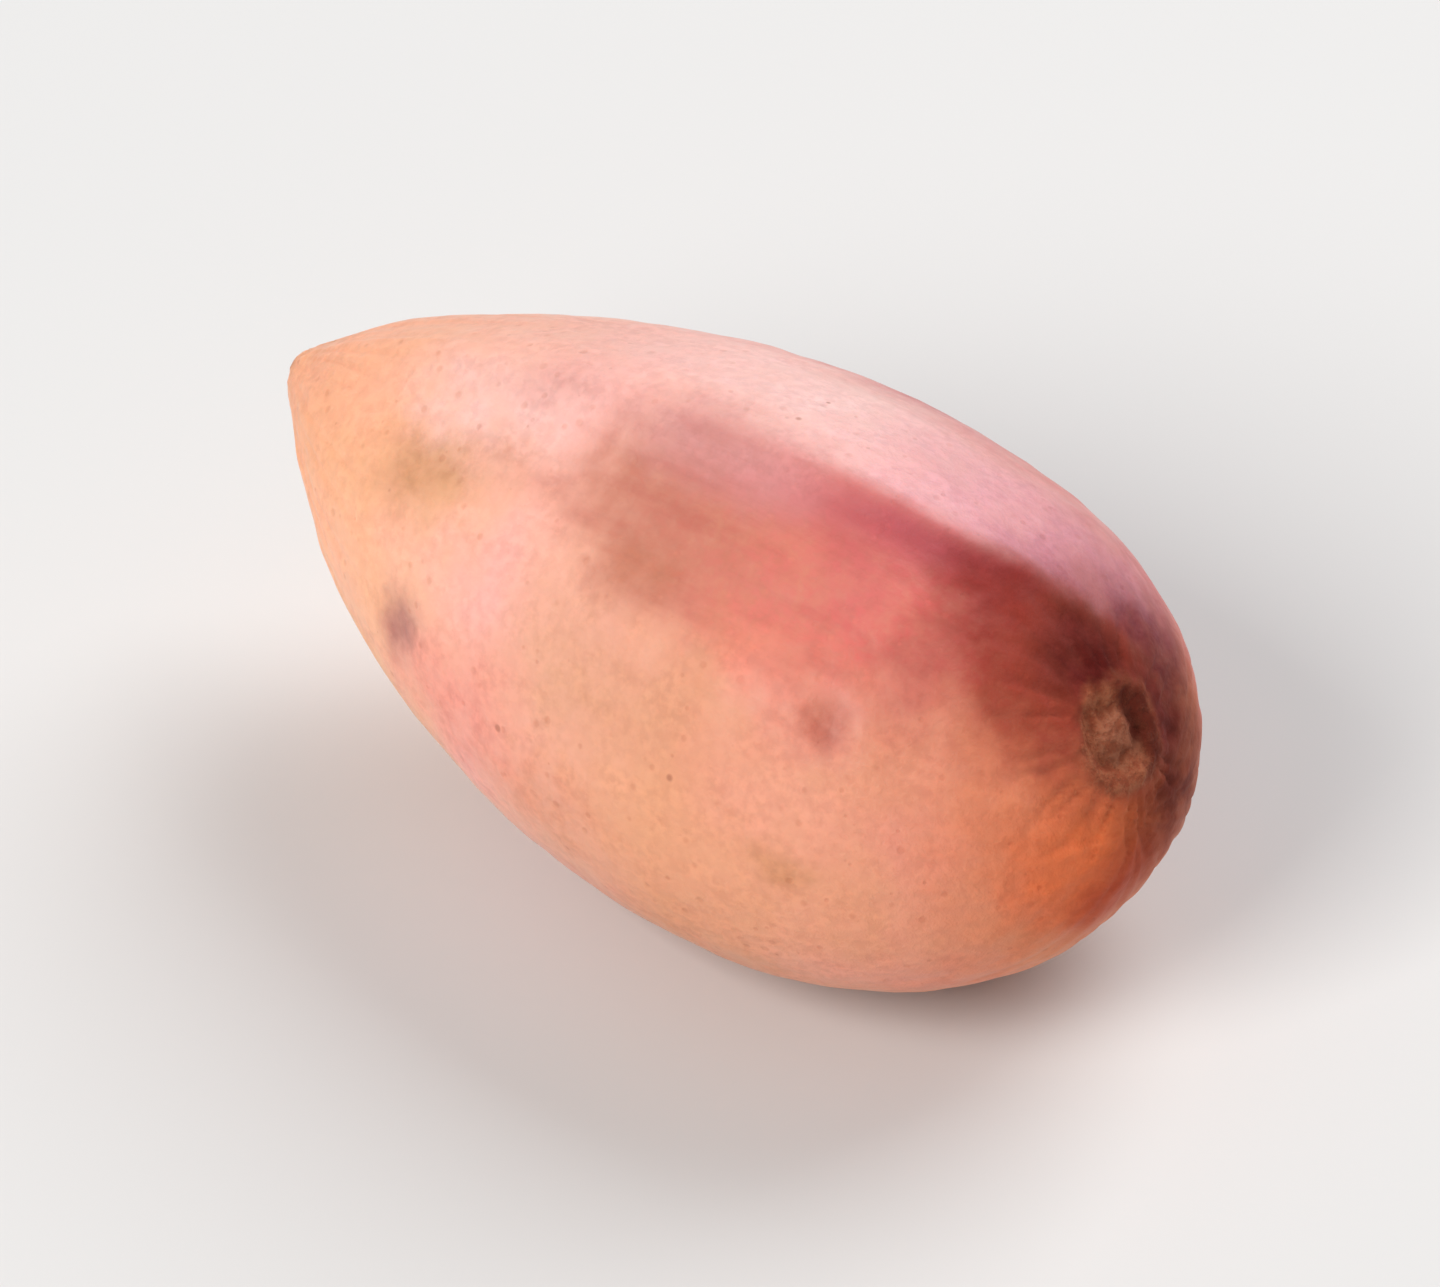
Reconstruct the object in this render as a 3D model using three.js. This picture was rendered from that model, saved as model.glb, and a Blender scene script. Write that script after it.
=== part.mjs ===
import * as THREE from "three";
import { mergeVertices } from "three/addons/utils/BufferGeometryUtils.js";

// A fresh pistachio as picked, closed in its thin soft hull: one solid, lying on its belly.
// Millimetres. +X runs from the pointed tip to the stem end and +Z is up. The origin is on
// the surface that the fruit lies on, below the middle of its box.
// Angles round the fruit are counted from the keel, and are positive towards the far side.

// Whole fruit
const LENGTH = 28;
const WIDTH = 16.2;
const HEIGHT = 14.75;

// Side view: the taper to the tip is long and the stem end is blunt. Each is the power by
// which the girth grows away from its end, so 0.5 is round and 1 is a straight cone.
const TIP_TAPER = 0.69;
const STEM_TAPER = 0.445;
const WIDEST = TIP_TAPER / (TIP_TAPER + STEM_TAPER);

// The middle line rises towards the tip, which leaves the belly fuller than the back, and
// sinks a little at the stem end.
const TIP_RISE = 2;
const STEM_SINK = 0.2;

// Cross-section: an egg with its narrow side at the keel, which leans a little to the front
const BACK_NARROWING = 0.08;
const KEEL_LEAN = THREE.MathUtils.degToRad(1);

// The keel is the seam that runs along the back from the tip to the scar. The hull sinks a
// little along its front side.
const KEEL = { angle: 0, height: 0.4, spread: 0.25 };
const FURROW = { angle: -0.5, height: -0.24, spread: 0.25 };

// Shallow flutes where the hull follows the shell and has begun to slacken. Middle and reach
// are shares of the length, counted from the tip.
const FLUTES = [
  { angle: 1.5, depth: 0.16, spread: 0.3, middle: 0.55, reach: 0.3 },
  { angle: 2.35, depth: 0.12, spread: 0.34, middle: 0.62, reach: 0.26 },
  { angle: -1.2, depth: 0.14, spread: 0.26, middle: 0.66, reach: 0.24 },
  { angle: -1.95, depth: 0.12, spread: 0.3, middle: 0.3, reach: 0.2 },
];

// Low swellings all over, so that no outline is a drawn curve
const SWELLINGS = [
  { height: 0.05, alongTurns: 1.5, roundTurns: 1, phase: 2.4 },
  { height: 0.05, alongTurns: 1.5, roundTurns: 2, phase: 3.4 },
  { height: 0.03, alongTurns: 2.5, roundTurns: 3, phase: 4.4 },
];

// The scar where the stalk broke off lies on the keel's side of the stem end: a low rim, a
// sunk ring, and the plug of the stalk in the middle. Each edge runs from one radius to another.
const SCAR_TURN = THREE.MathUtils.degToRad(17.5);
const RIM = { radius: 1.65, height: 0.15, spread: 0.5 };
const RING = { depth: 0.34, inner: 0.8, outer: 1.35 };
const PLUG = { height: 0.27, inner: 0.38, outer: 0.8 };

// The belly is pressed flat where the fruit rests, and it lies with its tip a little down,
// so that its weight is over that spot.
const PRESSED = 0.2;
const TIP_DOWN = THREE.MathUtils.degToRad(3);

// Facets: the rings crowd together at the stem end, by this share of even spacing, and the
// slide that centres them on the scar begins at this share of the unit sphere's radius.
const SEGMENTS = 76;
const RINGS = 52;
const STEM_CROWDING = 0.34;
const SLIDE_START = -0.2;

const HULL_PINK = 0xe29c82;
const HULL_ROUGHNESS = 0.55;

const X_AXIS = new THREE.Vector3(1, 0, 0);
const Y_AXIS = new THREE.Vector3(0, 1, 0);

function bell(distance, spread) {
  return Math.exp(-((distance / spread) ** 2));
}

// The smaller way round from one angle to another
function angleBetween(a, b) {
  return Math.abs(Math.atan2(Math.sin(a - b), Math.cos(a - b)));
}

// Girth at a share of the length from the tip, as a share of the widest
function girth(along) {
  const towardsTip = (along / WIDEST) ** TIP_TAPER;
  const towardsStem = ((1 - along) / (1 - WIDEST)) ** STEM_TAPER;
  return towardsTip * towardsStem;
}

function middleRise(along) {
  if (along < WIDEST) {
    return TIP_RISE * (1 - along / WIDEST) ** 2;
  }
  return -STEM_SINK * ((along - WIDEST) / (1 - WIDEST)) ** 2;
}

// How far the skin stands out of the plain egg. It all fades towards both ends.
function relief(along, around) {
  let height = 0;
  for (const line of [KEEL, FURROW]) {
    height += line.height * bell(angleBetween(around, line.angle), line.spread);
  }
  for (const flute of FLUTES) {
    const across = bell(angleBetween(around, flute.angle), flute.spread);
    height -= flute.depth * across * bell(along - flute.middle, flute.reach);
  }
  for (const swelling of SWELLINGS) {
    const wave = swelling.alongTurns * 2 * Math.PI * along + swelling.phase;
    height += swelling.height * Math.sin(wave + swelling.roundTurns * around);
  }
  return height * Math.sin(Math.PI * along);
}

// A point of the skin, from a direction on the unit sphere whose +X is the stem end and
// whose +Z is the keel
function skinPoint(direction) {
  const along = THREE.MathUtils.clamp((1 + direction.x) / 2, 0, 1);
  const around = Math.atan2(direction.y, direction.z);
  const size = girth(along);
  const out = relief(along, around);
  const back = Math.cos(around);
  const halfWidth = (WIDTH / 2) * size * (1 - BACK_NARROWING * back) + out;
  const halfHeight = (HEIGHT / 2) * size + out;
  return new THREE.Vector3(
    LENGTH * (along - 0.5),
    halfWidth * Math.sin(around),
    halfHeight * back + middleRise(along),
  );
}

// A closed unit sphere with its poles on X, whose rings crowd together at the stem end and
// slide up the keel there, so that the scar is made of whole rings
function directionSphere() {
  const sphere = new THREE.SphereGeometry(1, SEGMENTS, RINGS);
  sphere.rotateZ(-Math.PI / 2);
  sphere.deleteAttribute("normal");
  sphere.deleteAttribute("uv");
  const closed = mergeVertices(sphere);
  moveCorners(closed, (direction) => {
    const fromStem = direction.angleTo(X_AXIS);
    const crowding = STEM_CROWDING + (1 - STEM_CROWDING) * (fromStem / Math.PI);
    direction.x = 0;
    direction.setLength(Math.sin(fromStem * crowding));
    direction.x = Math.cos(fromStem * crowding);
    const slide = SCAR_TURN * THREE.MathUtils.smoothstep(direction.x, SLIDE_START, 1);
    return direction.applyAxisAngle(Y_AXIS, -slide);
  });
  return closed;
}

// How far the skin stands out at a distance from the middle of the scar
function scarRelief(distance) {
  const rim = RIM.height * bell(distance - RIM.radius, RIM.spread);
  const ring = RING.depth * (1 - THREE.MathUtils.smoothstep(distance, RING.inner, RING.outer));
  const plug = PLUG.height * (1 - THREE.MathUtils.smoothstep(distance, PLUG.inner, PLUG.outer));
  return rim - ring + plug;
}

// Gives every corner of a geometry a new place
function moveCorners(geometry, move) {
  const position = geometry.getAttribute("position");
  const corner = new THREE.Vector3();
  for (let i = 0; i < position.count; i += 1) {
    const moved = move(corner.fromBufferAttribute(position, i), i);
    position.setXYZ(i, moved.x, moved.y, moved.z);
  }
}

function raiseScar(geometry) {
  const scar = skinPoint(X_AXIS.clone().applyAxisAngle(Y_AXIS, -SCAR_TURN));
  geometry.computeVertexNormals();
  const normals = geometry.getAttribute("normal");
  const outward = new THREE.Vector3();
  moveCorners(geometry, (corner, i) => {
    outward.fromBufferAttribute(normals, i);
    return corner.addScaledVector(outward, scarRelief(corner.distanceTo(scar)));
  });
}

// Lays the fruit on the surface, presses its belly flat there and centres it on the origin
function layDown(geometry) {
  geometry.rotateX(KEEL_LEAN);
  geometry.rotateY(-TIP_DOWN);
  geometry.computeBoundingBox();
  const box = geometry.boundingBox;
  const middle = box.getCenter(new THREE.Vector3());
  geometry.translate(-middle.x, -middle.y, -box.min.z - PRESSED);
  moveCorners(geometry, (corner) => corner.setZ(Math.max(corner.z, 0)));
}

function makePistachio() {
  const geometry = directionSphere();
  moveCorners(geometry, skinPoint);
  raiseScar(geometry);
  layDown(geometry);
  geometry.computeVertexNormals();
  const hull = new THREE.MeshStandardMaterial({
    color: HULL_PINK,
    roughness: HULL_ROUGHNESS,
    metalness: 0,
  });
  const mesh = new THREE.Mesh(geometry, hull);
  mesh.name = "pistachio";
  return mesh;
}

const fruit = new THREE.Group();
fruit.add(makePistachio());

export default fruit;
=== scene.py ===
import math

import bpy
from mathutils import Euler, Matrix, Vector, noise


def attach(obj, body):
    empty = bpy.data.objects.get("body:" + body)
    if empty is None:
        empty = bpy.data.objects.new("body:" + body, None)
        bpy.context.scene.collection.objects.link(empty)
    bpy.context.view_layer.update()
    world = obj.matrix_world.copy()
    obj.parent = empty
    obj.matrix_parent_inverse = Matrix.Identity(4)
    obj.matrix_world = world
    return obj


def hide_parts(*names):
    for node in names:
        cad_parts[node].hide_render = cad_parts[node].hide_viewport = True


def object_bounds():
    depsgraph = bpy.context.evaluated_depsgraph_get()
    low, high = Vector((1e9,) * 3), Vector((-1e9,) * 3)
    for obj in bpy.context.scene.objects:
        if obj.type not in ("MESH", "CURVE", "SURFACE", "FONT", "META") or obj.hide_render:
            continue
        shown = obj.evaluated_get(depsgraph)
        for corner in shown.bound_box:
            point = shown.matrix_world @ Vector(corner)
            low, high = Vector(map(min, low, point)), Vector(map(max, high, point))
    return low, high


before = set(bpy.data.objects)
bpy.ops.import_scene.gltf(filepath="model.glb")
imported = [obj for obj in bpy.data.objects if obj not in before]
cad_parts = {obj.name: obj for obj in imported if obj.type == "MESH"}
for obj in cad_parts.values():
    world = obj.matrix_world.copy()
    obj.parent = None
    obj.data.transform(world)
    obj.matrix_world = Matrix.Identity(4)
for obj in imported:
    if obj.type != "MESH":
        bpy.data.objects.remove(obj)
cad_low, cad_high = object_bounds()

# Camera
# It looks down on the fruit from the photograph's side and height. For the size of the
# fruit it stands as far off as there, so the view has next to no perspective.
CAMERA_ROUND = math.radians(38)
CAMERA_UP = math.radians(42)
CAMERA_DISTANCE = 1.15
VIEW_WIDTH = 0.038
SENSOR_WIDTH = 36
FAR_CLIP = 10
AIM_BELOW_MIDDLE = 0.0012

fruit_middle = (cad_low + cad_high) / 2
camera_aim = fruit_middle - Vector((0, 0, AIM_BELOW_MIDDLE))
towards_camera = Vector(
    (
        math.sin(CAMERA_ROUND) * math.cos(CAMERA_UP),
        -math.cos(CAMERA_ROUND) * math.cos(CAMERA_UP),
        math.sin(CAMERA_UP),
    )
)
bpy.ops.object.camera_add(location=camera_aim + towards_camera * CAMERA_DISTANCE)
camera = bpy.context.object
camera.rotation_euler = (-towards_camera).to_track_quat("-Z", "Y").to_euler()
camera.data.sensor_width = SENSOR_WIDTH
camera.data.lens = SENSOR_WIDTH * CAMERA_DISTANCE / VIEW_WIDTH
camera.data.clip_end = FAR_CLIP
bpy.context.scene.camera = camera
bpy.context.scene.view_settings.view_transform = "Standard"


# Studio
# A plain pale floor, a wide soft box high behind the fruit, another in front of it and to
# the left, and a pale room all round.
FLOOR_SIZE = 6
FLOOR_PALE = (0.71, 0.71, 0.71)
FLOOR_ROUGHNESS = 0.8
ROOM_PALE = (0.97, 0.98, 1.0)
ROOM_STRENGTH = 0.3
SOFT_BOXES = [
    {
        "name": "high_back_light",
        "place": (0.02, 0.28, 0.3),
        "size": 0.3,
        "watts": 1.25,
        "tint": (1, 0.99, 0.98),
    },
    {
        "name": "front_light",
        "place": (-0.05, -0.36, 0.32),
        "size": 0.24,
        "watts": 1.7,
        "tint": (1, 0.98, 0.95),
    },
]

bpy.ops.object.select_all(action="DESELECT")
bpy.ops.mesh.primitive_plane_add(size=FLOOR_SIZE)
floor = bpy.context.object
floor.name = "studio_floor"
floor_paint = bpy.data.materials.new("floor_paint")
floor_paint.use_nodes = True
floor_shader = floor_paint.node_tree.nodes["Principled BSDF"]
floor_shader.inputs["Base Color"].default_value = (*FLOOR_PALE, 1)
floor_shader.inputs["Roughness"].default_value = FLOOR_ROUGHNESS
floor.data.materials.append(floor_paint)

room = bpy.data.worlds.new("pale_room")
room.use_nodes = True
room_light = room.node_tree.nodes["Background"]
room_light.inputs["Color"].default_value = (*ROOM_PALE, 1)
room_light.inputs["Strength"].default_value = ROOM_STRENGTH
bpy.context.scene.world = room

for soft_box in SOFT_BOXES:
    place = Vector(soft_box["place"])
    facing = (fruit_middle - place).to_track_quat("-Z", "Y").to_euler()
    bpy.ops.object.light_add(type="AREA", location=place, rotation=facing)
    light = bpy.context.object
    light.name = soft_box["name"]
    light.data.size = soft_box["size"]
    light.data.energy = soft_box["watts"]
    light.data.color = soft_box["tint"]
    light.visible_camera = False


# Pistachio, its form
# The whole fresh fruit in its hull, which is a thin soft rind drawn closely over the shell.
# It grew in one piece. The scar at its blunt end is where the stalk broke off, and the seam
# along its back is the keel.
MM = 0.001
JOINING_DISTANCE = 0.001 * MM
BLANK_CUTS = 31
FINE_LEVELS = 2
SMOOTHING = 0.5
SMOOTHING_ROUNDS = (12, 8, 4, 2)

# The fruit's own axes, in which places are given in mm: X from the tip to the stem end,
# Y to the far side and Z to the keel
AXIS_PLACE = Vector((0.041, 0.039, 6.99)) * MM
AXIS_TURN = Euler((math.radians(1), math.radians(-3), 0))
SCAR_PLACE = Vector((13.35, 0, 2.75))
SCAR_REACH = 2
SCAR_FADE = 1.2
SCAR_SMOOTHING_ROUNDS = 7

row_to_fruit = (Matrix.Translation(AXIS_PLACE) @ AXIS_TURN.to_matrix().to_4x4()).inverted()


# 0 before the start, 1 after the end, and a soft step between them
def soft_step(value, start, end):
    share = max(0, min(1, (value - start) / (end - start)))
    return share * share * (3 - 2 * share)


def bell(distance, spread):
    return math.exp(-((distance / spread) ** 2))


def finish_with(piece, kind, **settings):
    modifier = piece.modifiers.new(kind.lower(), kind)
    for name, value in settings.items():
        setattr(modifier, name, value)
    bpy.context.view_layer.objects.active = piece
    bpy.ops.object.modifier_apply(modifier=modifier.name)


def draw_onto(form, piece, **settings):
    finish_with(
        piece, "SHRINKWRAP", target=form, wrap_method="NEAREST_SURFACEPOINT", **settings
    )


# Paints a mask on a piece by a rule of place in the fruit's own axes
def paint_mask(piece, name, rule):
    mask = piece.vertex_groups.new(name=name)
    for corner in piece.data.vertices:
        weight = rule(row_to_fruit @ corner.co / MM)
        if weight > 0:
            mask.add([corner.index], min(weight, 1), "REPLACE")
    return name


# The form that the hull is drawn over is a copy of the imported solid, with its corners
# joined and its facets smoothed once.
bpy.ops.object.select_all(action="DESELECT")
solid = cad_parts["pistachio"]
solid.select_set(True)
bpy.context.view_layer.objects.active = solid
bpy.ops.object.duplicate()
form = bpy.context.object
form.name = "form"
bpy.ops.object.mode_set(mode="EDIT")
bpy.ops.mesh.select_all(action="SELECT")
bpy.ops.mesh.remove_doubles(threshold=JOINING_DISTANCE)
bpy.ops.object.mode_set(mode="OBJECT")
finish_with(form, "SUBSURF", levels=1, render_levels=1)

# A cut-up cube blown up to an egg has even faces and no poles.
bpy.ops.object.select_all(action="DESELECT")
bpy.ops.mesh.primitive_cube_add(size=1)
hull = bpy.context.object
hull.name = "pistachio_hull"
bpy.ops.object.mode_set(mode="EDIT")
bpy.ops.mesh.select_all(action="SELECT")
bpy.ops.mesh.subdivide(number_cuts=BLANK_CUTS)
bpy.ops.object.mode_set(mode="OBJECT")
finish_with(hull, "CAST", cast_type="SPHERE", factor=1)
egg_fit = [
    (high - low) / side for low, high, side in zip(cad_low, cad_high, hull.dimensions)
]
bpy.ops.object.mode_set(mode="EDIT")
bpy.ops.mesh.select_all(action="SELECT")
bpy.ops.transform.resize(value=egg_fit, center_override=(0, 0, 0))
bpy.ops.transform.translate(value=fruit_middle)
bpy.ops.object.mode_set(mode="OBJECT")
for rounds in SMOOTHING_ROUNDS:
    draw_onto(form, hull)
    finish_with(hull, "SMOOTH", factor=SMOOTHING, iterations=rounds)
finish_with(hull, "SUBSURF", levels=FINE_LEVELS, render_levels=FINE_LEVELS)


# The smoothing has filled the scar a little, so the hull is drawn in once more there.
def near_scar(place):
    return 1 - soft_step((place - SCAR_PLACE).length, SCAR_REACH, SCAR_REACH + SCAR_FADE)


scar_mask = paint_mask(hull, "near_scar", near_scar)
draw_onto(form, hull, vertex_group=scar_mask)
finish_with(
    hull,
    "SMOOTH",
    factor=SMOOTHING,
    iterations=SCAR_SMOOTHING_ROUNDS,
    vertex_group=scar_mask,
)
bpy.data.objects.remove(form)
bpy.ops.object.select_all(action="DESELECT")
hull.select_set(True)
bpy.context.view_layer.objects.active = hull
bpy.ops.object.shade_smooth()


# Pistachio, its relief
# The rind has a fine seam along the keel, low lumps and lengthwise ridges over the shell,
# pleats round the scar and at the tip where it has begun to dry, and a corky scar.
TIP_PLACE = Vector((-14, 0, 2))
RISE_START = 3
LUMP_SIZE = 3.2
DIMPLE_SIZE = 1.1
PEBBLE_SIZE = 0.5
RIDGE_COUNT = 17
RIDGE_STRETCH = 0.13

# The form is drawn in by the mean of the lumps, ridges and dimples. That fades out between
# these depths below the middle line, since the fruit rests on what is lower.
RESTING_DEPTHS = (5.2, 6.6)

# Pleats run lengthwise, from both ends and in patches between them.
PLEAT_COUNT = 31
PLEAT_STRETCH = 0.16
PLEAT_WIDTH = 0.3
TIP_PLEATS = (5, 12.5)
STEM_PLEATS = (8, 13)
STEM_PLEAT_SHARE = 0.8
PLEAT_PATCH_SIZE = 4.5
PLEAT_PATCHES = (-0.1, 0.5)
PLEAT_PATCH_SHARE = 0.4

# Pleats round the scar run outwards like spokes.
SPOKE_SPREAD = 4.2
SPOKE_STRETCH = 0.35
SPOKE_WIDTH = 0.35
SPOKE_START = (1.4, 2)
SPOKE_END = (2.4, 4.6)

# The seam runs a little to the front of the middle, and bends back round the scar. A shallow
# trough lies below it.
SEAM_SIDE = -0.5
SEAM_BEND_START = 2
SEAM_BEND = 0.023
SEAM_WIDTH = 0.45
SEAM_WANDER = 0.12
SEAM_WANDER_SIZE = 2.5
SEAM_START = (-13, -4)
SEAM_END = (9.5, 11.5)
SEAM_CLEAR = (-2, 5)
SEAM_FAINT_SHARE = 0.55
TROUGH_BELOW = 1.3
TROUGH_WIDTH = 0.9
TROUGH_START = (-3, 4)
TROUGH_END = (10, 12.5)

CORK_EDGE = (1.3, 1.8)
CORK_GRAIN = 0.45
CORK_ROUGHNESS = 0.7
CORK_FINENESS = 2.1
CORK_LAYERS = 3
TIP_POINT_REACH = 1

HOLLOWS = [
    {"place": (-6.9, -3.5, 4.6), "reach": (1.9, 1.0, 1.2)},
    {"place": (-2.7, -2.1, 6.5), "reach": (0.9, 2.2, 1.4)},
    {"place": (-6.2, -6.0, 1.2), "reach": (0.8, 1.0, 1.1)},
    {"place": (8.0, -5.3, 4.4), "reach": (0.7, 0.8, 0.9)},
    {"place": (11.4, -2.5, 4.5), "reach": (1.3, 1.0, 1.0)},
    {"place": (3.2, -4.0, 6.1), "reach": (2.4, 0.9, 0.9)},
    {"place": (4.0, 6.6, 2.6), "reach": (2.2, 1.0, 1.2)},
    {"place": (-3.5, 5.2, 3.6), "reach": (1.2, 0.8, 1.0)},
    {"place": (1.5, 4.6, -5.0), "reach": (1.6, 1.2, 1.0)},
]


# Slow swells, between 0 and 1
def swells(place):
    return 0.5 + 0.5 * noise.noise(place)


def lumps(place):
    return swells(place / LUMP_SIZE)


def dimples(place):
    return swells(place / DIMPLE_SIZE)


def pebbles(place):
    return swells(place / PEBBLE_SIZE)


def drawn_in(place):
    return 1 - soft_step(-place.z, *RESTING_DEPTHS)


# Narrow grooves with round edges, where a slow noise passes zero
def grooves(place, width):
    return 1 - soft_step(abs(noise.noise(place)), 0, width)


# The angle round the fruit's middle line, which rises towards the tip
def round_fruit(place):
    towards_tip = max(0, (RISE_START - place.x) / (RISE_START - TIP_PLACE.x))
    return math.atan2(place.y, place.z - TIP_PLACE.z * towards_tip**2)


# A place for a noise that runs lengthwise, as many times round as is asked for
def lengthwise(place, rounds, stretch):
    around = round_fruit(place)
    reach = rounds / (2 * math.pi)
    return Vector((math.cos(around) * reach, math.sin(around) * reach, place.x * stretch))


def ridges(place):
    return swells(lengthwise(place, RIDGE_COUNT, RIDGE_STRETCH))


def pleats(place):
    tip_end = soft_step(-place.x, *TIP_PLEATS)
    stem_end = STEM_PLEAT_SHARE * soft_step(place.x, *STEM_PLEATS)
    ends = max(tip_end, stem_end)
    patches = soft_step(noise.noise(place / PLEAT_PATCH_SIZE), *PLEAT_PATCHES)
    lines = grooves(lengthwise(place, PLEAT_COUNT, PLEAT_STRETCH), PLEAT_WIDTH)
    return lines * (ends + PLEAT_PATCH_SHARE * patches * (1 - ends))


def scar_pleats(place):
    out = place - SCAR_PLACE
    distance = out.length
    angle = math.atan2(out.y, (out.z - out.x) / math.sqrt(2))
    across = math.cos(angle) * SPOKE_SPREAD
    upwards = math.sin(angle) * SPOKE_SPREAD
    spokes = grooves(Vector((across, upwards, distance * SPOKE_STRETCH)), SPOKE_WIDTH)
    return spokes * soft_step(distance, *SPOKE_START) * (1 - soft_step(distance, *SPOKE_END))


def seam_side(x):
    return SEAM_SIDE + SEAM_BEND * max(0, x - SEAM_BEND_START) ** 2


def seam(place):
    if place.z < 0:
        return 0
    wander = SEAM_WANDER * noise.noise(Vector((place.x / SEAM_WANDER_SIZE, 0, 0)))
    away = place.y - seam_side(place.x) - wander
    reach = soft_step(place.x, *SEAM_START) * (1 - soft_step(place.x, *SEAM_END))
    clearness = soft_step(place.x, *SEAM_CLEAR)
    share = SEAM_FAINT_SHARE + (1 - SEAM_FAINT_SHARE) * clearness
    return bell(away, SEAM_WIDTH) * reach * share


def trough(place):
    if place.z < 0:
        return 0
    away = place.y - seam_side(place.x) + TROUGH_BELOW
    reach = soft_step(place.x, *TROUGH_START) * (1 - soft_step(place.x, *TROUGH_END))
    return bell(away, TROUGH_WIDTH) * reach


def hollows(place):
    depth = 0
    for hollow in HOLLOWS:
        away = place - Vector(hollow["place"])
        spread = Vector([side / reach for side, reach in zip(away, hollow["reach"])])
        depth = max(depth, bell(spread.length, 1))
    return depth


def cork(place):
    distance = (place - SCAR_PLACE).length
    grain = noise.fractal(place / CORK_GRAIN, CORK_ROUGHNESS, CORK_FINENESS, CORK_LAYERS)
    return (0.5 + 0.5 * grain) * (1 - soft_step(distance, *CORK_EDGE))


def tip_point(place):
    return bell((place - TIP_PLACE).length, TIP_POINT_REACH)


# name, rule of place, and height in mm
RELIEF = [
    ("drawn_in", drawn_in, -0.18),
    ("low_lumps", lumps, 0.18),
    ("lengthwise_ridges", ridges, 0.1),
    ("dimples", dimples, 0.07),
    ("seam", seam, 0.12),
    ("trough", trough, -0.13),
    ("hollows", hollows, -0.14),
    ("pleats", pleats, -0.06),
    ("scar_pleats", scar_pleats, -0.1),
    ("cork", cork, 0.16),
    ("tip_point", tip_point, 0.42),
    ("pebbles", pebbles, 0.02),
]
for name, rule, height in RELIEF:
    mask = paint_mask(hull, name, rule)
    finish_with(
        hull,
        "DISPLACE",
        strength=height * MM,
        mid_level=0,
        direction="NORMAL",
        vertex_group=mask,
    )
hull.vertex_groups.clear()

# What would pass through the surface that it lies on is pressed flat there.
bpy.ops.object.mode_set(mode="EDIT")
bpy.ops.mesh.select_all(action="DESELECT")
bpy.ops.object.mode_set(mode="OBJECT")
for corner in hull.data.vertices:
    corner.select = corner.co.z < 0
bpy.ops.object.mode_set(mode="EDIT")
bpy.ops.mesh.select_mode(type="VERT")
bpy.ops.transform.resize(value=(1, 1, 0), center_override=(0, 0, 0))
bpy.ops.mesh.select_all(action="DESELECT")
bpy.ops.object.mode_set(mode="OBJECT")


# Pistachio, its skin
# Waxy and half matt: cream at the tip and peach at the stem end, with a coral flush below
# the keel, a pale pink behind it that is partly bloom and partly painted sheen, and a rose
# blush on the far side. Fine stipple, pale pores and a few brown specks lie over it all, and
# the scar is brown cork, with painted shade on and round it.


# A colour, given by its hex code as it is seen, in the linear light that materials work in
def paint(code):
    parts = [int(code[i : i + 2], 16) / 255 for i in (0, 2, 4)]
    linear = [c / 12.92 if c <= 0.04045 else ((c + 0.055) / 1.055) ** 2.4 for c in parts]
    return (*linear, 1)


def add_node(tree, kind, feeds, **settings):
    made = tree.nodes.new(kind)
    for name, value in settings.items():
        setattr(made, name, value)
    for socket, value in feeds.items():
        if isinstance(value, bpy.types.NodeSocket):
            tree.links.new(value, made.inputs[socket])
        else:
            made.inputs[socket].default_value = value
    return made


def maths(tree, operation, *values):
    made = add_node(tree, "ShaderNodeMath", dict(enumerate(values)), operation=operation)
    return made.outputs[0]


def vector_maths(tree, operation, *values):
    made = add_node(tree, "ShaderNodeVectorMath", dict(enumerate(values)), operation=operation)
    return made.outputs["Value" if operation == "LENGTH" else "Vector"]


def scaled(tree, vector, share):
    feeds = {0: vector, "Scale": share}
    return add_node(tree, "ShaderNodeVectorMath", feeds, operation="SCALE").outputs["Vector"]


# 0 before the start, 1 after the end, and a soft step between them
def step_between(tree, value, start, end):
    return add_node(
        tree,
        "ShaderNodeMapRange",
        {"Value": value, "From Min": start, "From Max": end},
        interpolation_type="SMOOTHSTEP",
    ).outputs["Result"]


# One colour laid over another through a mask. The node's colour sockets have no names of
# their own, so they are given by number.
def lay_over(tree, under, over, mask, blend="MIX"):
    return add_node(
        tree,
        "ShaderNodeMix",
        {0: mask, 6: under, 7: over},
        data_type="RGBA",
        blend_type=blend,
    ).outputs[2]


def new_group(name, takes, gives):
    group = bpy.data.node_groups.new(name, "ShaderNodeTree")
    for direction, sockets in (("INPUT", takes), ("OUTPUT", gives)):
        for socket_name, kind in sockets.items():
            group.interface.new_socket(
                name=socket_name, in_out=direction, socket_type="NodeSocket" + kind
            )
    start = group.nodes.new("NodeGroupInput").outputs
    end = group.nodes.new("NodeGroupOutput").inputs
    return group, start, end


# Waver: how far a border strays at each place, in mm, in wide bends and close ones
NOISE_MIDDLE = (0.5, 0.5, 0.5)
WIDE_BENDS = {"scale": 0.42, "detail": 2, "reach": 3}
CLOSE_BENDS = {"scale": 1.7, "detail": 3, "reach": 1.4}

waver, takes, gives = new_group("waver", {"Place": "Vector"}, {"Shift": "Vector"})
shifts = []
for bends in (WIDE_BENDS, CLOSE_BENDS):
    wandering = add_node(
        waver,
        "ShaderNodeTexNoise",
        {"Vector": takes["Place"], "Scale": bends["scale"], "Detail": bends["detail"]},
    ).outputs["Color"]
    both_ways = vector_maths(waver, "SUBTRACT", wandering, NOISE_MIDDLE)
    shifts.append(scaled(waver, both_ways, bends["reach"]))
waver.links.new(vector_maths(waver, "ADD", *shifts), gives["Shift"])

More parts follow.
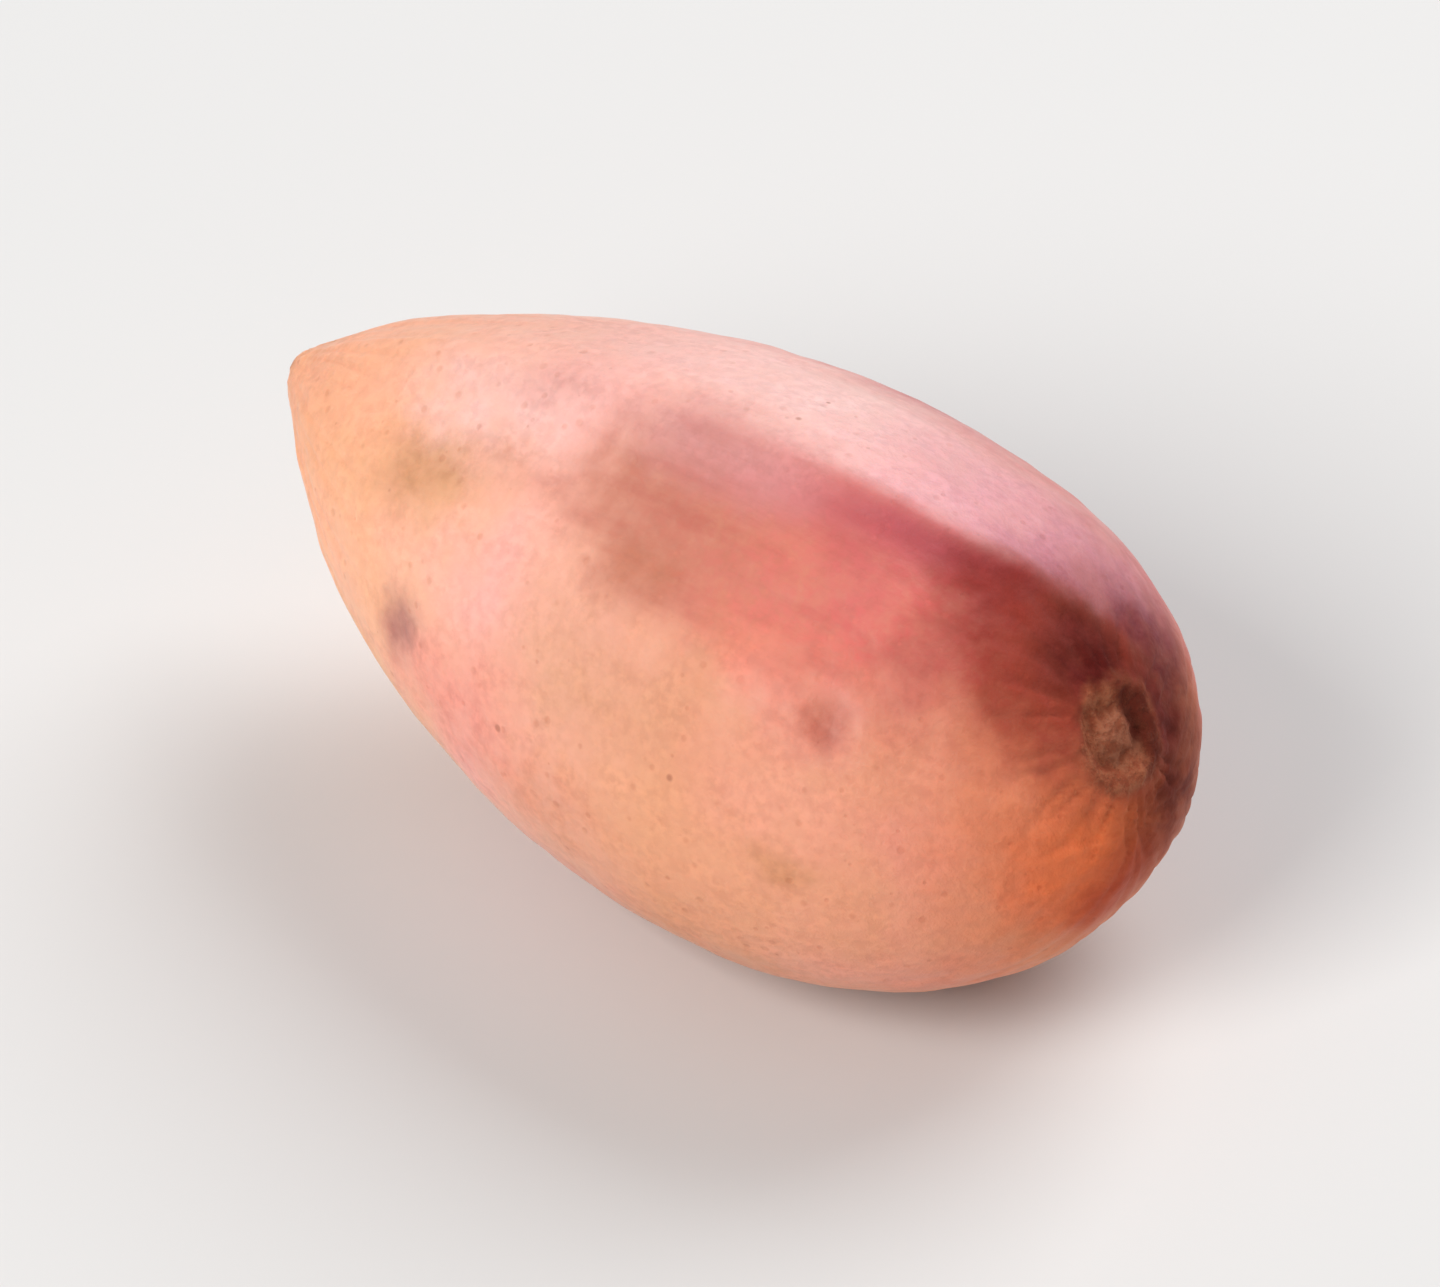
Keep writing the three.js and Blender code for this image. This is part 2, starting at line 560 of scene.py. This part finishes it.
# Patch: a ragged spot round a middle, whose edge is as soft as is asked for
patch, takes, gives = new_group(
    "patch",
    {
        "Place": "Vector",
        "Shift": "Vector",
        "Middle": "Vector",
        "Reach": "Vector",
        "Raggedness": "Float",
        "Softness": "Float",
    },
    {"Mask": "Float"},
)
ragged_shift = scaled(patch, takes["Shift"], takes["Raggedness"])
ragged_place = vector_maths(patch, "ADD", takes["Place"], ragged_shift)
away = vector_maths(patch, "SUBTRACT", ragged_place, takes["Middle"])
reaches = vector_maths(patch, "LENGTH", vector_maths(patch, "DIVIDE", away, takes["Reach"]))
outer = maths(patch, "ADD", 1, takes["Softness"])
inner = maths(patch, "SUBTRACT", 1, takes["Softness"])
patch.links.new(step_between(patch, reaches, outer, inner), gives["Mask"])

# Mottle: cloudy blotches of a size in mm
MOTTLE_DETAIL = 3
MOTTLE_ROUGHNESS = 0.55

mottle, takes, gives = new_group(
    "mottle",
    {"Place": "Vector", "Size": "Float", "Low": "Float", "High": "Float"},
    {"Mask": "Float"},
)
clouds = add_node(
    mottle,
    "ShaderNodeTexNoise",
    {
        "Vector": takes["Place"],
        "Scale": maths(mottle, "DIVIDE", 1, takes["Size"]),
        "Detail": MOTTLE_DETAIL,
        "Roughness": MOTTLE_ROUGHNESS,
    },
).outputs["Fac"]
mottle.links.new(step_between(mottle, clouds, takes["Low"], takes["High"]), gives["Mask"])

# Dots: round pores or specks of many sizes, of which only a share shows
SMALLEST_DOT = 0.5
DOT_CORE = 0.4

dots, takes, gives = new_group(
    "dots",
    {"Place": "Vector", "Spacing": "Float", "Radius": "Float", "Share": "Float"},
    {"Mask": "Float"},
)
cells = add_node(
    dots,
    "ShaderNodeTexVoronoi",
    {"Vector": takes["Place"], "Scale": maths(dots, "DIVIDE", 1, takes["Spacing"])},
)
cell_value = add_node(dots, "ShaderNodeSeparateColor", {0: cells.outputs["Color"]})
radius_share = maths(dots, "DIVIDE", takes["Radius"], takes["Spacing"])
dot_size = maths(dots, "ADD", SMALLEST_DOT, cell_value.outputs[1])
dot_radius = maths(dots, "MULTIPLY", radius_share, dot_size)
dot_core = maths(dots, "MULTIPLY", dot_radius, DOT_CORE)
round_dot = step_between(dots, cells.outputs["Distance"], dot_radius, dot_core)
shown = maths(dots, "LESS_THAN", cell_value.outputs[0], takes["Share"])
dots.links.new(maths(dots, "MULTIPLY", round_dot, shown), gives["Mask"])

skin = bpy.data.materials.new("fresh_hull_skin")
skin.use_nodes = True
tree = skin.node_tree
shader = tree.nodes["Principled BSDF"]


def mask_from(group, **feeds):
    return add_node(tree, "ShaderNodeGroup", feeds, node_tree=group).outputs[0]


def parts_of(vector):
    return add_node(tree, "ShaderNodeSeparateXYZ", {"Vector": vector}).outputs


def all_of(*masks):
    both = masks[0]
    for mask in masks[1:]:
        both = maths(tree, "MULTIPLY", both, mask)
    return both


# A share that goes from one value to another as a mask goes from 0 to 1
def share_between(mask, first, last):
    return maths(tree, "MULTIPLY_ADD", mask, last - first, first)


# One mask where another is 0, and a third where it is 1
def blend_between(mask, first, last):
    return add_node(tree, "ShaderNodeMix", {0: mask, 2: first, 3: last}).outputs[0]


# A colour at each distance along the fruit, given as stops of a distance in mm and a colour.
# A new ramp already has two stops.
def colours_along(distance, stops):
    start, end = stops[0][0], stops[-1][0]
    share = add_node(
        tree, "ShaderNodeMapRange", {"Value": distance, "From Min": start, "From Max": end}
    ).outputs["Result"]
    ramp = add_node(tree, "ShaderNodeValToRGB", {0: share})
    for i, (at, code) in enumerate(stops):
        where = (at - start) / (end - start)
        if i < 2:
            stop = ramp.color_ramp.elements[i]
            stop.position = where
        else:
            stop = ramp.color_ramp.elements.new(where)
        stop.color = paint(code)
    return ramp.outputs["Color"]


# Places on the fruit in mm, in its own axes, and the same ones strayed, so that the borders
# of the colours waver
STRAYING = 0.55
SEAM_STRAYING = 0.12

object_place = add_node(tree, "ShaderNodeTexCoord", {}).outputs["Object"]
place = add_node(
    tree,
    "ShaderNodeMapping",
    {
        "Vector": object_place,
        "Location": AXIS_PLACE,
        "Rotation": AXIS_TURN,
        "Scale": (MM, MM, MM),
    },
    vector_type="TEXTURE",
).outputs["Vector"]
shift = mask_from(waver, Place=place)
straight = parts_of(place)
strayed = parts_of(vector_maths(tree, "ADD", place, scaled(tree, shift, STRAYING)))
little_strays = parts_of(scaled(tree, shift, SEAM_STRAYING))

# Clouds and stipple in the rind, and fine streaks along it
STREAK_STRETCH = 0.14

slow_clouds = mask_from(mottle, Place=place, Size=4.5, Low=0.32, High=0.68)
clouding = mask_from(mottle, Place=place, Size=1.1, Low=0.34, High=0.66)
stipple = mask_from(mottle, Place=place, Size=0.3, Low=0.3, High=0.7)
stretched_place = add_node(
    tree, "ShaderNodeMapping", {"Vector": place, "Scale": (STREAK_STRETCH, 1, 1)}
).outputs["Vector"]
streaks = mask_from(mottle, Place=stretched_place, Size=0.6, Low=0.42, High=0.74)

# The reds lie in the rind as a fine grain, so they let the ground through in clouds and specks.
GRAIN_IN_CLOUDS = (0.62, 0.78)
GRAIN_STIPPLE = 0.22

grain_share = share_between(clouding, *GRAIN_IN_CLOUDS)
grain_share = maths(tree, "MULTIPLY_ADD", stipple, GRAIN_STIPPLE, grain_share)

# Marks: name, middle and reach in mm, raggedness, softness of the edge, colour and strength.
# The first ones lie under the flush and the pale bloom and sheen, and the others over them.
GROUND_MARKS = [
    ("low_pink", (-3.4, -7.1, 0.4), (3.0, 1.7, 2.0), 0.8, 0.8, "ee9686", 0.72),
    ("yellow_tan", (1.2, -6.7, 3.2), (2.8, 1.8, 2.2), 0.8, 0.9, "dfa47c", 0.5),
    ("low_tan", (8.5, -6.9, -0.4), (4.4, 2.0, 1.8), 1.0, 0.7, "e29d77", 0.5),
    ("low_cream", (3.2, -7.7, 0.4), (2.6, 1.6, 1.6), 1.0, 0.8, "eba982", 0.5),
    ("olive_dimple", (-6.9, -3.5, 4.6), (1.8, 1.1, 1.2), 0.5, 0.8, "cd946a", 0.75),
    ("front_pink", (-5.4, -1.4, 6.1), (3.2, 1.9, 1.6), 0.7, 0.7, "fac8c0", 0.85),
    ("tan_bridge", (-4.3, -3.2, 5.6), (1.8, 0.9, 0.9), 0.4, 0.8, "e2a083", 0.55),
    ("low_dusk", (0.4, -7.7, -0.5), (2.0, 1.2, 1.3), 0.4, 0.9, "dc916e", 0.4),
]
UPPER_MARKS = [
    # The tan mark at the tip end of the flush is painted shade of the crease there.
    ("crease_shade_tan", (1.1, -4.6, 5.6), (1.3, 0.9, 0.9), 0.3, 0.9, "bb7657", 0.45),
    ("flush_deep", (6.9, -2.3, 6.6), (1.4, 1.0, 0.9), 0.3, 0.9, "cc6a6a", 0.5),
    ("red", (10.4, -0.8, 5.6), (1.9, 1.4, 1.6), 0.4, 0.7, "8c281f", 0.93),
    ("top_mauve", (1.0, -0.8, 7.4), (2.7, 1.2, 1.0), 0.5, 0.8, "d39390", 0.6),
    ("dusky_spot", (-4.1, -0.8, 6.9), (1.3, 0.9, 0.8), 0.4, 0.9, "dea29a", 0.6),
    ("dull_band", (9.3, -3.0, 5.2), (0.8, 1.4, 1.3), 0.6, 0.7, "b9665a", 0.5),
    ("pale_spot", (2.5, -5.6, 5.0), (0.9, 0.7, 0.7), 0.5, 0.8, "f2ae8e", 0.5),
    ("coral_spot", (5.3, -5.1, 5.1), (1.0, 0.8, 0.8), 0.6, 0.8, "f0917a", 0.6),
    ("orange", (13.5, -2.1, -0.2), (1.5, 2.0, 2.1), 0.5, 0.7, "f37c4a", 0.9),
    # The red-brown mark on the low rim below the scar is partly the fruit's own red and partly
    # painted shade.
    ("low_rim_red_and_shade", (13.8, -0.8, -2.0), (1.1, 1.9, 1.4), 0.3, 0.8, "b03c1e", 0.7),
    # The dark maroon mark on the far rim beside the scar is painted shade.
    ("far_rim_painted_shade", (13.8, 2.2, 0.3), (1.8, 2.3, 2.7), 0.3, 0.8, "571814", 0.8),
    ("grey_speck", (-6.2, -6.0, 1.25), (0.8, 1.0, 0.9), 0.4, 0.9, "a46664", 0.75),
    ("speck_blush", (7.7, -5.1, 4.5), (2.0, 1.3, 1.3), 0.7, 0.8, "db806a", 0.6),
    ("small_speck", (8.1, -5.2, 4.4), (0.55, 0.55, 0.65), 0.4, 0.8, "b65c4a", 0.66),
    ("low_speck", (7.9, -7.3, 0.8), (0.9, 0.6, 0.5), 0.5, 0.8, "c98a60", 0.5),
    ("halo_low", (11.5, -2.9, 3.9), (1.2, 1.1, 1.1), 0.4, 0.8, "b4543e", 0.5),
    ("scar_halo", (12.2, -0.3, 4.2), (2.1, 2.1, 1.9), 0.6, 0.6, "973f2d", 0.85),
    ("scar_side", (13.4, -1.4, 2.3), (0.8, 1.0, 1.2), 0.5, 0.7, "b05a3c", 0.5),
    # The near-black patch above the scar is partly the skin's own dark brown and partly painted
    # shade.
    ("scar_patch_and_shade", (12.1, 0.4, 4.5), (1.4, 1.3, 1.2), 0.2, 0.6, "54100a", 0.92),
    ("tip_speck", (-14.0, 0.0, 2.0), (0.4, 0.4, 0.4), 0.2, 0.5, "a8704c", 0.7),
]
MARK_CLOUDING = 0.12


def lay_marks(colour, marks):
    for name, middle, reach, raggedness, softness, code, strength in marks:
        spot = mask_from(
            patch,
            Place=place,
            Shift=shift,
            Middle=middle,
            Reach=reach,
            Raggedness=raggedness,
            Softness=softness,
        )
        cloudy = share_between(clouding, strength - MARK_CLOUDING, strength + MARK_CLOUDING)
        colour = lay_over(tree, colour, paint(code), all_of(spot, cloudy))
    return colour


# Front side, from the tip to the stem end, in slow clouds of tan and pink
FLANK_COLOURS = [
    (-14, "fbb286"),
    (-10, "feba92"),
    (-6, "fcbd9b"),
    (-3, "febbac"),
    (0, "f0b09a"),
    (4, "e6a07e"),
    (8, "eda688"),
    (10.5, "ea9a7d"),
    (12.5, "e38a62"),
    (14, "cc683f"),
]
TAN_CLOUD = (0.97, 0.97, 0.9, 1)
PINK_CLOUD = (1.02, 0.98, 1.06, 1)

colour = colours_along(strayed["X"], FLANK_COLOURS)
cloud_tint = lay_over(tree, TAN_CLOUD, PINK_CLOUD, slow_clouds)
colour = lay_over(tree, colour, cloud_tint, 1, "MULTIPLY")
colour = lay_marks(colour, GROUND_MARKS)

# Far side: a rose blush in slow clouds, which thins towards the tip and the belly
BLUSH_ROSE = paint("ce7474")
BLUSH_DEEP = paint("b85763")
BLUSH_ACROSS = (2.6, 6.4)
BLUSH_ALONG = (-13, -2)
BLUSH_SHARES = (0.5, 0.9)
BELLY_CREAM = paint("e3a07e")
BELLY_DEPTHS = (-3.2, -6.8)
BELLY_SHARE = 0.75

blush = all_of(
    step_between(tree, strayed["Y"], *BLUSH_ACROSS),
    step_between(tree, strayed["X"], *BLUSH_ALONG),
)
blush_colour = lay_over(tree, BLUSH_ROSE, BLUSH_DEEP, slow_clouds)
blush_share = share_between(grain_share, *BLUSH_SHARES)
colour = lay_over(tree, colour, blush_colour, all_of(blush, blush_share))
belly = step_between(tree, strayed["Z"], *BELLY_DEPTHS)
colour = lay_over(tree, colour, BELLY_CREAM, all_of(belly, BELLY_SHARE))

# How far a place lies behind the seam
UPPER_SIDE = (0, 2.6)

past_bend = maths(tree, "SUBTRACT", straight["X"], SEAM_BEND_START)
past_bend = maths(tree, "MAXIMUM", past_bend, 0)
bend = maths(tree, "MULTIPLY", maths(tree, "POWER", past_bend, 2), SEAM_BEND)
seam_place = maths(tree, "ADD", bend, SEAM_SIDE)
behind = maths(tree, "SUBTRACT", straight["Y"], seam_place)
behind = maths(tree, "ADD", behind, little_strays["Y"])
upper = step_between(tree, strayed["Z"], *UPPER_SIDE)

# Below the seam: a coral flush. Its lower edge climbs towards the stem end, and its tip end
# slants back from a crest on both sides. All its edges are soft.
FLUSH_COLOURS = [
    (-4, "e0978a"),
    (-1, "c67c69"),
    (2, "c87564"),
    (4.5, "d6756a"),
    (7.5, "dc6c66"),
    (9.5, "c9534e"),
    (11.5, "a24336"),
    (14, "8c3b2a"),
]
FLUSH_LOW_EDGE = (-6.5, -4.2)
FLUSH_TOP_EDGE = (1.4, -0.8)
FLUSH_TIP_EDGE = (-4.4, -1.1)
FLUSH_CLIMB_START = 6.5
FLUSH_CLIMB = 0.5
CREST_SIDE = -2.9
CREST_SLANT = 1.15
CREST_LEAN = 0.35

climb = maths(tree, "SUBTRACT", strayed["X"], FLUSH_CLIMB_START)
climb = maths(tree, "MAXIMUM", climb, 0)
flush_low = maths(tree, "MULTIPLY_ADD", climb, -FLUSH_CLIMB, strayed["Y"])
above_crest = maths(tree, "SUBTRACT", strayed["Y"], CREST_SIDE)
from_crest = maths(tree, "ABSOLUTE", above_crest)
flush_tip = maths(tree, "MULTIPLY_ADD", from_crest, -CREST_SLANT, strayed["X"])
flush_tip = maths(tree, "MULTIPLY_ADD", above_crest, CREST_LEAN, flush_tip)
flush = all_of(
    step_between(tree, flush_low, *FLUSH_LOW_EDGE),
    step_between(tree, behind, *FLUSH_TOP_EDGE),
    step_between(tree, flush_tip, *FLUSH_TIP_EDGE),
    upper,
    grain_share,
)
colour = lay_over(tree, colour, colours_along(strayed["X"], FLUSH_COLOURS), flush)

# Behind the seam: a pale pink, partly bloom and partly painted sheen of the light from above,
# which ends sharply on the seam but softly towards the tip. Its dark end by the stem is painted
# shade.
BLOOM_SHEEN_AND_SHADE_COLOURS = [
    (-14, "eeae8c"),
    (-9, "eeae96"),
    (-5, "eeb2a6"),
    (-1, "f5c2bc"),
    (2.5, "f6c9c5"),
    (5.5, "ecb0b4"),
    (8, "e29fa9"),
    (10, "c5808d"),
    (12, "78343b"),
    (14, "4c1210"),
]
BLOOM_AND_SHEEN_SHARP_EDGE = (-0.7, 0.7)
BLOOM_AND_SHEEN_SOFT_EDGE = (-2.4, 1.8)
BLOOM_AND_SHEEN_FAR_EDGE = (6.8, 3.2)
BLOOM_AND_SHEEN_SHARES = (0.84, 0.98)
STEM_HALF = (-1, 7)

to_stem = step_between(tree, strayed["X"], *STEM_HALF)
bloom_and_sheen_edge = blend_between(
    to_stem,
    step_between(tree, strayed["Y"], *BLOOM_AND_SHEEN_SOFT_EDGE),
    step_between(tree, behind, *BLOOM_AND_SHEEN_SHARP_EDGE),
)
bloom_and_sheen = all_of(
    bloom_and_sheen_edge,
    step_between(tree, strayed["Y"], *BLOOM_AND_SHEEN_FAR_EDGE),
    upper,
    share_between(clouding, *BLOOM_AND_SHEEN_SHARES),
)
colour = lay_over(tree, colour, colours_along(strayed["X"], BLOOM_SHEEN_AND_SHADE_COLOURS), bloom_and_sheen)

# Just below the seam: a red line, fading downwards, whose upper edge is soft towards the tip
RED_LINE_COLOURS = [
    (-3, "e8b0ab"),
    (0, "dd9b98"),
    (3, "d88285"),
    (5, "c86468"),
    (7, "bd555e"),
    (9, "94343a"),
    (11, "58100a"),
]
RED_LINE_SHARP_EDGE = (0.65, -0.5)
RED_LINE_SOFT_EDGE = (1.4, -1.8)
RED_LINE_LOW_EDGE = (-2.2, -0.6)
RED_LINE_TIP_EDGE = (-2.5, 3.5)
RED_LINE_SHARE = 0.92

red_line_top = blend_between(
    to_stem,
    step_between(tree, behind, *RED_LINE_SOFT_EDGE),
    step_between(tree, behind, *RED_LINE_SHARP_EDGE),
)
red_line = all_of(
    red_line_top,
    step_between(tree, behind, *RED_LINE_LOW_EDGE),
    step_between(tree, strayed["X"], *RED_LINE_TIP_EDGE),
    upper,
    RED_LINE_SHARE,
)
colour = lay_over(tree, colour, colours_along(strayed["X"], RED_LINE_COLOURS), red_line)
colour = lay_marks(colour, UPPER_MARKS)

# Scar: a dark sunk ring round the brown plug of the stalk; its far inner wall has painted shade
SCAR_STRAYING = 0.4
SCAR_EDGE = (1.8, 1.3)
PLUG_EDGE = (1.05, 0.6)
CORK_BROWN = (paint("8c452d"), paint("a46043"))
PLUG_BROWN = (paint("8a4a32"), paint("a2644a"))
SCAR_WALL_SHADE_BLACK = paint("521107")
SCAR_WALL_SHADE_NEAR_EDGE = (0.35, 0.85)
SCAR_WALL_SHADE_FAR_EDGE = (1.75, 1.3)
SCAR_WALL_SHADE_SHARE = 0.8

strayed_scar = vector_maths(tree, "ADD", place, scaled(tree, shift, SCAR_STRAYING))
scar_place = vector_maths(tree, "SUBTRACT", strayed_scar, tuple(SCAR_PLACE))
from_scar = vector_maths(tree, "LENGTH", scar_place)
in_scar = step_between(tree, from_scar, *SCAR_EDGE)
on_plug = step_between(tree, from_scar, *PLUG_EDGE)
cork_grain = mask_from(mottle, Place=place, Size=0.35, Low=0.35, High=0.65)
colour = lay_over(tree, colour, lay_over(tree, *CORK_BROWN, cork_grain), in_scar)
colour = lay_over(tree, colour, lay_over(tree, *PLUG_BROWN, cork_grain), on_plug)
across_scar = parts_of(scar_place)["Y"]
# The black streak is painted shade on the far inner wall of the scar's ring.
painted_scar_wall_shade = all_of(
    in_scar,
    step_between(tree, across_scar, *SCAR_WALL_SHADE_NEAR_EDGE),
    step_between(tree, across_scar, *SCAR_WALL_SHADE_FAR_EDGE),
    SCAR_WALL_SHADE_SHARE,
)
colour = lay_over(tree, colour, SCAR_WALL_SHADE_BLACK, painted_scar_wall_shade)

# Fine marks over it all: stipple, red streaks, pores and a few brown specks
STIPPLE_DARK = (0.9, 0.86, 0.85, 1)
STIPPLE_LIGHT = (1.06, 1.05, 1.04, 1)
STIPPLE_SHARES = (0.3, 0.9)
FINE_STREAK_RED = paint("a84640")
FINE_STREAK_SHARES = (0.05, 0.25)
PORE_DARK = (0.88, 0.8, 0.76, 1)
PORE_PALE = (1.1, 1.14, 1.12, 1)
PORE_SHARE = 0.8
SPECK_BROWN = paint("9a5640")
SPECK_SHARE = 0.55

off_scar = maths(tree, "SUBTRACT", 1, in_scar)
blushed = maths(tree, "MAXIMUM", blush, flush)
stipple_tint = lay_over(tree, STIPPLE_DARK, STIPPLE_LIGHT, stipple)
stipple_share = share_between(clouding, *STIPPLE_SHARES)
colour = lay_over(tree, colour, stipple_tint, stipple_share, "MULTIPLY")
fine_streaks = all_of(streaks, share_between(blushed, *FINE_STREAK_SHARES), off_scar)
colour = lay_over(tree, colour, FINE_STREAK_RED, fine_streaks)
pores = all_of(mask_from(dots, Place=place, Spacing=0.52, Radius=0.11, Share=0.6), off_scar)
pore_tint = lay_over(tree, PORE_DARK, PORE_PALE, blushed)
colour = lay_over(tree, colour, pore_tint, all_of(pores, PORE_SHARE), "MULTIPLY")
specks = all_of(mask_from(dots, Place=place, Spacing=2.1, Radius=0.15, Share=0.25), off_scar)
colour = lay_over(tree, colour, SPECK_BROWN, all_of(specks, SPECK_SHARE))
tree.links.new(colour, shader.inputs["Base Color"])

# A coat of wax, thinner where it is cloudy and gone round the scar and in it, where it is dry
DRYING_EDGE = (8, 2.4)
DRY_ROUGHNESS = 0.35
ROUGHNESSES = (0.5, 0.62)
WAX_WEIGHTS = (0.5, 0.3)

drying = step_between(tree, from_scar, *DRYING_EDGE)
dull = share_between(clouding, *ROUGHNESSES)
roughness = maths(tree, "MULTIPLY_ADD", drying, DRY_ROUGHNESS, dull)
tree.links.new(roughness, shader.inputs["Roughness"])
not_dry = maths(tree, "SUBTRACT", 1, drying)
wax = all_of(share_between(clouding, *WAX_WEIGHTS), not_dry)
tree.links.new(wax, shader.inputs["Coat Weight"])

# Fine grain: raised stipple, sunk pores and streaks, and coarse cork in the scar
GRAIN_HEIGHT = 0.03 * MM
GRAIN_STRENGTH = 0.55
PORE_HEIGHT = -0.7
STREAK_HEIGHT = -0.6
CORK_HEIGHT = 3

height = maths(tree, "MULTIPLY_ADD", pores, PORE_HEIGHT, stipple)
height = maths(tree, "MULTIPLY_ADD", streaks, STREAK_HEIGHT, height)
height = maths(tree, "ADD", height, all_of(cork_grain, in_scar, CORK_HEIGHT))
bump = add_node(
    tree,
    "ShaderNodeBump",
    {"Strength": GRAIN_STRENGTH, "Distance": GRAIN_HEIGHT, "Height": height},
).outputs["Normal"]
tree.links.new(bump, shader.inputs["Normal"])

shader.inputs["Specular IOR Level"].default_value = 0.2
shader.inputs["Coat Roughness"].default_value = 0.36
shader.inputs["Coat IOR"].default_value = 1.4
shader.inputs["Subsurface Weight"].default_value = 0.2
shader.inputs["Subsurface Radius"].default_value = (1, 0.35, 0.22)
shader.inputs["Subsurface Scale"].default_value = 0.7 * MM
hull.data.materials.append(skin)

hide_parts("pistachio")
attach(hull, "root")
